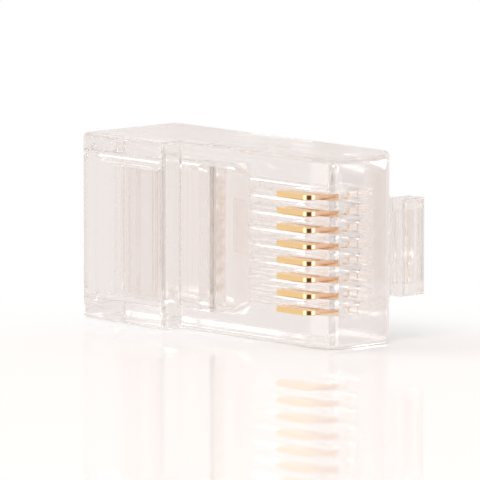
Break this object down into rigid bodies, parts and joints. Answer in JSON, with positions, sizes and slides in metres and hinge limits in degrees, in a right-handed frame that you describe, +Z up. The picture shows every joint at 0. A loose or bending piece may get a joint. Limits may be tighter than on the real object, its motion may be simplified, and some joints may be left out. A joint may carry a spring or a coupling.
{
  "type": "rj45 modular plug",
  "caption": "Clear moulded modular plug for data cable, with a row of gold-plated blade contacts, a sprung latch on the far side and press-in cable and conductor clamps.",
  "frame": {"origin": "on the resting plane, under the middle of the plug's box", "axes": "+X from the cable end to the nose, +Y from the contact side to the latch side, +Z up across the width"},
  "size_m": [0.0218, 0.0116, 0.0117],
  "materials": {
    "clear_plastic": "clear injection-moulded polycarbonate, polished",
    "gold_plate": "bright gold plate over phosphor bronze"
  },
  "bodies": {
    "housing": {"plug_housing": "clear_plastic"},
    "latch": {"latch_lever": "clear_plastic"},
    "cable_clamp": {"cable_clamp_tongue": "clear_plastic"},
    "conductor_clamp": {"conductor_clamp_bar": "clear_plastic"},
    "contact_1": {"contact_1": "gold_plate"},
    "contact_2": {"contact_2": "gold_plate"},
    "contact_3": {"contact_3": "gold_plate"},
    "contact_4": {"contact_4": "gold_plate"},
    "contact_5": {"contact_5": "gold_plate"},
    "contact_6": {"contact_6": "gold_plate"},
    "contact_7": {"contact_7": "gold_plate"},
    "contact_8": {"contact_8": "gold_plate"}
  },
  "joints": [
    {"name": "latch_press", "type": "hinge", "parent": "housing", "child": "latch", "pos_m": [0.00937, 0.00267, 0.00584], "axis": [0, 0, 1], "range_deg": [0, 9.5], "stiffness_Nm_per_rad": 0.1},
    {"name": "cable_clamp_swing", "type": "hinge", "parent": "housing", "child": "cable_clamp", "pos_m": [-0.00428, -0.00531, 0.00584], "axis": [0, 0, -1], "range_deg": [0, 22]},
    {"name": "conductor_clamp_travel", "type": "slide", "parent": "housing", "child": "conductor_clamp", "axis": [0, 1, 0], "range_m": [0, 0.001]},
    {"name": "contact_1_travel", "type": "slide", "parent": "housing", "child": "contact_1", "axis": [0, 1, 0], "range_m": [0, 0.00136]},
    {"name": "contact_2_travel", "type": "slide", "parent": "housing", "child": "contact_2", "axis": [0, 1, 0], "range_m": [0, 0.00136]},
    {"name": "contact_3_travel", "type": "slide", "parent": "housing", "child": "contact_3", "axis": [0, 1, 0], "range_m": [0, 0.00136]},
    {"name": "contact_4_travel", "type": "slide", "parent": "housing", "child": "contact_4", "axis": [0, 1, 0], "range_m": [0, 0.00136]},
    {"name": "contact_5_travel", "type": "slide", "parent": "housing", "child": "contact_5", "axis": [0, 1, 0], "range_m": [0, 0.00136]},
    {"name": "contact_6_travel", "type": "slide", "parent": "housing", "child": "contact_6", "axis": [0, 1, 0], "range_m": [0, 0.00136]},
    {"name": "contact_7_travel", "type": "slide", "parent": "housing", "child": "contact_7", "axis": [0, 1, 0], "range_m": [0, 0.00136]},
    {"name": "contact_8_travel", "type": "slide", "parent": "housing", "child": "contact_8", "axis": [0, 1, 0], "range_m": [0, 0.00136]}
  ]
}
